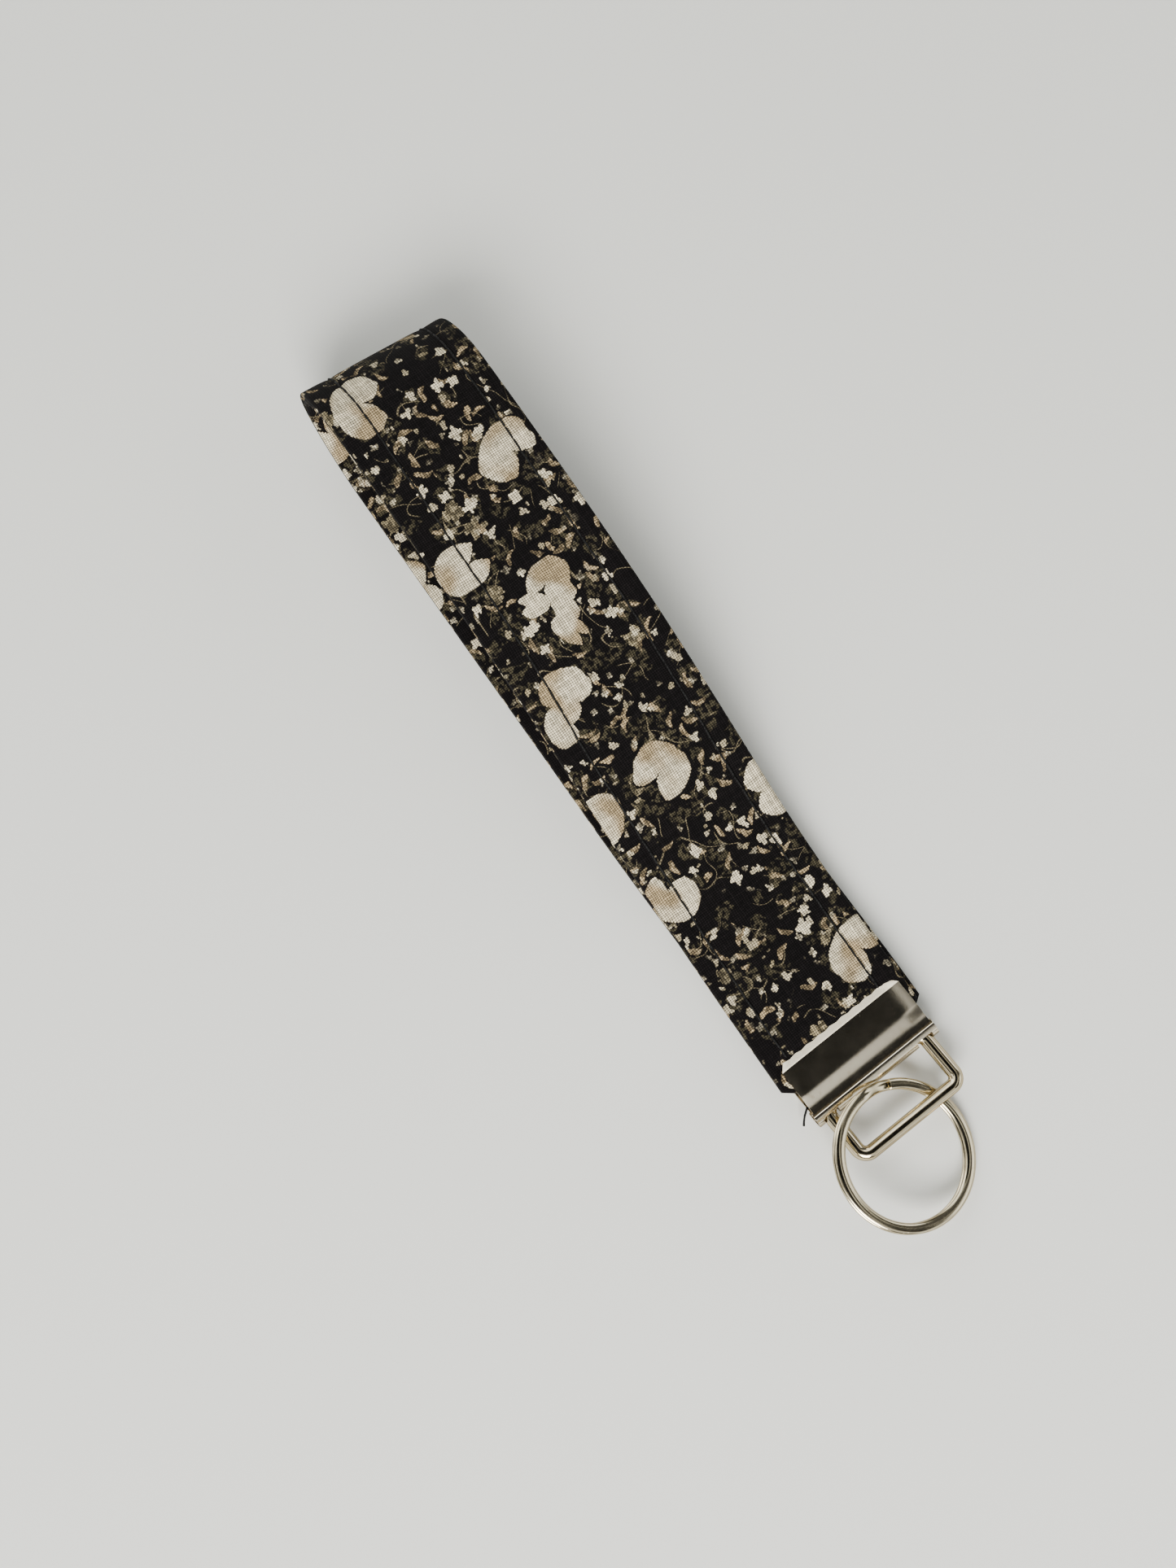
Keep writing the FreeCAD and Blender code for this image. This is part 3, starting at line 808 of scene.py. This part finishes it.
def seam(name, side, outer, node, material):
    """One seam's thread on one face: a row of stitches, each diving into the cloth at its two ends."""
    sense = 1 if outer else -1
    half_thick = STRAP_THICKNESS / 2
    drop = 0.0 if outer else LOWER_STITCH_DROP
    lifts = [lift - drop for lift in STITCH_LIFTS]
    radii = [THREAD_RADIUS * size for size in STITCH_SWELLS]
    paths = []
    count = int(STRAP_LENGTH / STITCH_LENGTH)
    for number in range(1, count):
        middle = (number + 0.5) * STITCH_LENGTH
        lean = STITCH_LEAN * math.sin(number * 2.4)
        path = []
        for share, lift in zip(STITCH_SHARES, lifts):
            gone = middle + share * STITCH_LENGTH
            across = seam_place(side, gone) + lean * share * 2
            surface = half_thick - face_dip(across, gone)
            path.append(strap_place(row_at(gone), across, sense * (surface + lift * MM)))
        paths.append(path)
    piece = thread_piece(name, paths, radii, material)
    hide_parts(node)
    return piece


def thread_tail(material):
    """The loose end of one seam's thread, standing out past the clamp's left edge."""
    start = Vector((SLEEVE_LOW.x, HINGE.y, 0)) + Vector(TAIL_START) * MM
    path = [start + Vector(step) * MM for step in TAIL_STEPS]
    radii = [THREAD_RADIUS * size for size in TAIL_SWELLS]
    return thread_piece("thread_tail", [path], radii, material)


def clamp_frame():
    """Where the clamp's own coordinates, about the hinge axis, lie in the frame."""
    along = HINGE_AXIS
    up = Vector((0, 0, 1))
    forward = up.cross(along)
    return Matrix.Translation(HINGE) @ Matrix((along, forward, up)).transposed().to_4x4()


def arc_points(centre, radius, start, end, count):
    """Points (y, z) round an arc, its two ends among them. Angles are in degrees from +y."""
    points = []
    for number in range(count + 1):
        angle = math.radians(start + (end - start) * number / count)
        points.append((centre[0] + radius * math.cos(angle), centre[1] + radius * math.sin(angle)))
    return points


def jaw_outline():
    """The outer line (y, z) of the clamp's upper jaw, from the back of the spine to the lip's end."""
    points = arc_points((0, 0), SPINE_RADIUS, 180, SPINE_END_ANGLE, SPINE_SIDES)
    points.append(GROOVE_PLACE)
    for number in range(JAW_STEPS + 1):
        y = FOOT_Y + (LIP_START_Y - FOOT_Y) * number / JAW_STEPS
        rise = smooth_step((y - RAMP_START_Y) / (RAMP_END_Y - RAMP_START_Y))
        points.append((y, FOOT_HEIGHT + (FACE_HEIGHT - FOOT_HEIGHT) * rise))
    lip_centre = (LIP_START_Y, FACE_HEIGHT - LIP_RADIUS)
    points += arc_points(lip_centre, LIP_RADIUS, 90, 90 - LIP_TURN, LIP_SIDES)[1:]
    y, z = points[-1]
    down = math.radians(LIP_TURN)
    for share in LIP_SHARES:
        points.append((y + LIP_LENGTH * share * math.cos(down), z - LIP_LENGTH * share * math.sin(down)))
    return points


def clamp_columns():
    """Shares of the half width, with a column at each edge of the two slots."""
    keys = [-SPINE_HALF_WIDTH, -SLOT_OUTER_X, -SLOT_INNER_X, SLOT_INNER_X, SLOT_OUTER_X, SPINE_HALF_WIDTH]
    columns = [keys[0]]
    for low, high in zip(keys, keys[1:]):
        count = max(3, round((high - low) / COLUMN_STEP))
        columns += [low + (high - low) * number / count for number in range(1, count + 1)]
    return np.array(columns) / SPINE_HALF_WIDTH


def inward(outline):
    """The direction (y, z) into the sheet at each point of its outer line."""
    line = np.array(outline)
    along = np.gradient(line, axis=0)
    along /= np.linalg.norm(along, axis=1)[:, None]
    return np.stack([along[:, 1], -along[:, 0]], axis=1)


def clamp_place(share, y, z):
    """A point of the clamp at a share of its half width: narrower past the spine, its lip corners clipped,
    its faces drawn down at the ends, and its lips cut into teeth."""
    half = SPINE_HALF_WIDTH
    side = 1 if z > 0 else -1
    turn = math.radians(LIP_TURN)
    lip_end = LIP_START_Y + LIP_RADIUS * math.sin(turn) + LIP_LENGTH * math.cos(turn)
    if y > FOOT_Y:
        half = JAW_HALF_WIDTH - max(0.0, y - (lip_end - LIP_CORNER)) * LIP_CORNER_SLOPE
        right_end = max(0.0, (share - RIGHT_BEND_FROM) / (1 - RIGHT_BEND_FROM))
        left_end = max(0.0, (-share - LEFT_BEND_FROM) / (1 - LEFT_BEND_FROM))
        past_foot = min(1.0, (y - FOOT_Y) / (RAMP_END_Y - FOOT_Y))
        z -= side * past_foot * (RIGHT_BEND * right_end ** 2 + LEFT_BEND * left_end ** 2)
    tooth = abs(2 * ((share * half / TOOTH_PITCH) % 1) - 1)
    past_bend = max(0.0, (y - (lip_end - LIP_LENGTH / 2)) / LIP_LENGTH * 2)
    pull = TOOTH_DEPTH * tooth * past_bend
    return Vector((share * half, y - pull * math.cos(turn), z + side * pull * math.sin(turn)))


def clamp(material):
    """The folded sheet: two jaws with a soft step, toothed lips, and a rolled spine with two slots."""
    upper = jaw_outline()
    outline = [(y, -z) for y, z in upper[:0:-1]] + upper
    into = inward(outline)
    columns = clamp_columns()
    place = clamp_frame()
    vertices = []
    for depth in (0.0, SHEET):
        for (y, z), (into_y, into_z) in zip(outline, into):
            for share in columns:
                x, moved_y, moved_z = clamp_place(share, y, z)
                vertices.append(place @ Vector((x, moved_y + depth * into_y, moved_z + depth * into_z)))
    rows, count = len(outline), len(columns)

    def is_sheet(r, c):
        if not (0 <= r < rows - 1 and 0 <= c < count - 1):
            return False
        middle_x = abs(columns[c] + columns[c + 1]) / 2 * SPINE_HALF_WIDTH
        middle_y = (outline[r][0] + outline[r + 1][0]) / 2
        in_slot = SLOT_INNER_X < middle_x < SLOT_OUTER_X and middle_y < SLOT_END_Y
        return not in_slot

    inner = rows * count
    faces = []
    for r in range(rows - 1):
        for c in range(count - 1):
            if not is_sheet(r, c):
                continue
            corners = [r * count + c, r * count + c + 1, (r + 1) * count + c + 1, (r + 1) * count + c]
            faces.append(tuple(corners))
            faces.append(tuple(corner + inner for corner in reversed(corners)))
            beside = [(r - 1, c), (r, c + 1), (r + 1, c), (r, c - 1)]
            for number, next_cell in enumerate(beside):
                if not is_sheet(*next_cell):
                    first, second = corners[number], corners[(number + 1) % 4]
                    faces.append((second, first, first + inner, second + inner))
    piece = new_piece("clamp_sheet", vertices, faces, material, STRAP_BODY)
    soft_edge(piece, CLAMP_EDGE_ROUND)
    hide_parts("clamp")
    return piece


def soft_edge(piece, width):
    bevel = piece.modifiers.new("soft_edges", "BEVEL")
    bevel.width = width
    bevel.segments = 2
    bevel.limit_method = "ANGLE"
    bevel.angle_limit = math.radians(50)
    bevel.harden_normals = True


def coil_height(angle):
    """The wire's height in the split ring at an angle round it: level, with a smooth climb over the ramp."""
    share = smooth_step((angle - RAMP_START) / (RAMP_END - RAMP_START))
    return (share - 0.5) * COIL_SPACING


def split_ring(material):
    """Two coils of one flat-sided round-edged wire, resting where the frame has the ring."""
    around, steps = RING_SIDES, RING_STEPS
    power = 2 / RING_WIRE_SQUARENESS
    vertices = []
    for number in range(steps + 1):
        angle = COIL_START + (COIL_END - COIL_START) * number / steps
        turned = math.radians(angle)
        height = coil_height(angle)
        for k in range(around):
            bearing = 2 * math.pi * k / around
            out = RING_WIRE_HALF_WIDTH * math.copysign(abs(math.cos(bearing)) ** power, math.cos(bearing))
            up = RING_WIRE_HALF_HEIGHT * math.copysign(abs(math.sin(bearing)) ** power, math.sin(bearing))
            reach = RING_RADIUS + out
            vertices.append(Vector((reach * math.cos(turned), reach * math.sin(turned), height + up)))
    turn = Vector((0, 0, 1)).rotation_difference(Vector(RING_SLOPE))
    vertices = [turn @ vertex for vertex in vertices]
    low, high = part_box("split_ring")
    own_low = [min(vertex[axis] for vertex in vertices) for axis in range(3)]
    own_high = [max(vertex[axis] for vertex in vertices) for axis in range(3)]
    shift = (low + high) / 2 - (Vector(own_low) + Vector(own_high)) / 2
    vertices = [vertex + shift for vertex in vertices]
    faces = []
    for r in range(steps):
        for k in range(around):
            after = (k + 1) % around
            faces.append((r * around + k, r * around + after, (r + 1) * around + after, (r + 1) * around + k))
    faces.append(tuple(range(around))[::-1])
    faces.append(tuple(steps * around + k for k in range(around)))
    piece = new_piece("ring_coils", vertices, faces, material, "ring")
    soft_edge(piece, RING_EDGE_ROUND)
    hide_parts("split_ring")
    return piece


# ---------------------------------------------------------------- stage, lights and camera

CAMERA_TARGET = Vector((-9.5 * MM, 6.35 * MM, 0))
CAMERA_DISTANCE = 311 * MM
CAMERA_LEAN = 9.7
CAMERA_UP_BEARING = 55.2
CAMERA_LENS = 41.1
SENSOR_WIDTH = 36
WORLD_STRENGTH = 1.8
KEY_POWER = 25.0
KEY_SIZE = (0.7, 0.5)
FLOOR_REACH = 3.0


def camera_axes():
    up = Vector((math.cos(math.radians(CAMERA_UP_BEARING)), math.sin(math.radians(CAMERA_UP_BEARING)), 0))
    right = Vector((up.y, -up.x, 0))
    return right, up


def camera():
    right, up = camera_axes()
    lean = math.radians(CAMERA_LEAN)
    top = Vector((0, 0, 1))
    back = top * math.cos(lean) - up * math.sin(lean)
    screen_up = up * math.cos(lean) + top * math.sin(lean)
    data = bpy.data.cameras.new("camera")
    data.lens = CAMERA_LENS
    data.sensor_width = SENSOR_WIDTH
    data.clip_start = 0.01
    made = bpy.data.objects.new("camera", data)
    bpy.context.scene.collection.objects.link(made)
    turn = Matrix((right, screen_up, back)).transposed().to_4x4()
    made.matrix_world = Matrix.Translation(CAMERA_TARGET + back * CAMERA_DISTANCE) @ turn
    bpy.context.scene.camera = made


def floor():
    material, shader, tree = new_material("backdrop", Roughness=0.75, Specular_IOR_Level=0.2)
    place = object_place(tree)
    mottle = place.noise(6.0, 2.0)
    colour = mottle.mix((0.715, 0.72, 0.69), (0.745, 0.75, 0.72))
    tree.links.new(colour.output, shader.inputs["Base Color"])
    mesh = bpy.data.meshes.new("floor")
    corners = [(-FLOOR_REACH, -FLOOR_REACH, 0), (FLOOR_REACH, -FLOOR_REACH, 0),
               (FLOOR_REACH, FLOOR_REACH, 0), (-FLOOR_REACH, FLOOR_REACH, 0)]
    mesh.from_pydata(corners, [], [(0, 1, 2, 3)])
    mesh.materials.append(material)
    made = bpy.data.objects.new("floor", mesh)
    bpy.context.scene.collection.objects.link(made)


def area_light(name, place, aim, size, power, colour):
    data = bpy.data.lights.new(name, "AREA")
    data.shape = "RECTANGLE"
    data.size, data.size_y = size
    data.energy = power
    data.color = colour
    made = bpy.data.objects.new(name, data)
    bpy.context.scene.collection.objects.link(made)
    place = Vector(place)
    turn = (Vector(aim) - place).to_track_quat("-Z", "Y").to_matrix().to_4x4()
    made.matrix_world = Matrix.Translation(place) @ turn
    return made


def studio():
    """One soft key light in a bright uneven room, which is dim overhead and has a bright panel that the
    clamp's lip reflects and a duller part that its ramp reflects."""
    world = bpy.data.worlds.new("studio")
    bpy.context.scene.world = world
    world.use_nodes = True
    tree = world.node_tree
    node = tree.nodes.new("ShaderNodeTexCoord")
    direction = Field(tree, node.outputs["Generated"])
    right, up = camera_axes()
    patch_middle = (Vector((0, 0, 1)) - right * 0.03 + up * 0.02).normalized()
    toward_patch = direction.vector("DOT_PRODUCT", tuple(patch_middle), output="Value")
    overhead = toward_patch.smooth(0.86, 0.93, 1.0, 0.006)
    low = direction.axis("Z").smooth(0.0, 0.40, 0.14, 1.0)
    room = direction.noise(2.3, 0.5).smooth(0.46, 0.58, 0.06, 1.25)
    lip_side = (up * 0.82 - right * 0.57 + Vector((0, 0, 0.42))).normalized()
    panel = direction.vector("DOT_PRODUCT", tuple(lip_side), output="Value").smooth(0.80, 0.93, 0.0, 0.8)
    ramp_side = (right * 0.40 - up * 0.55 + Vector((0, 0, 0.74))).normalized()
    shade = direction.vector("DOT_PRODUCT", tuple(ramp_side), output="Value").smooth(0.80, 0.95, 1.0, 0.45)
    strength = overhead * (low * room * shade + panel)
    background = tree.nodes["Background"]
    background.inputs["Color"].default_value = (0.99, 1.0, 0.965, 1)
    tree.links.new((strength * WORLD_STRENGTH).output, background.inputs["Strength"])
    key = right * -0.05 - up * 0.88 + Vector((0, 0, 0.72))
    area_light("key", key, (0, 0, 0), KEY_SIZE, KEY_POWER, (1, 0.98, 0.94))


# ---------------------------------------------------------------- build

def build():
    cotton = printed_cotton()
    thread = sewing_thread()
    sleeve, cut_width = strap_sleeve(cotton)
    strap_core(felt())
    for side, word in ((-1, "left"), (1, "right")):
        seam("topstitch_" + word + "_thread", side, True, "topstitch_" + word, thread)
        seam("bobbin_" + word + "_thread", side, False, "bobbin_thread_" + word, thread)
    thread_tail(thread)
    clamp(nickel("nickel_sheet", (0.72, 0.65, 0.52), 0.15, 0.18, 0.8))
    wire_metal = nickel("nickel_wire", (0.62, 0.54, 0.38), 0.10, 0.17, 0.25)
    split_ring(nickel("nickel_ring", (0.60, 0.53, 0.38), 0.11, 0.18, 0.25))
    for material_slot in frame["nodes"]["wire_loop"].material_slots:
        material_slot.material = wire_metal
    floor()
    studio()
    camera()


build()
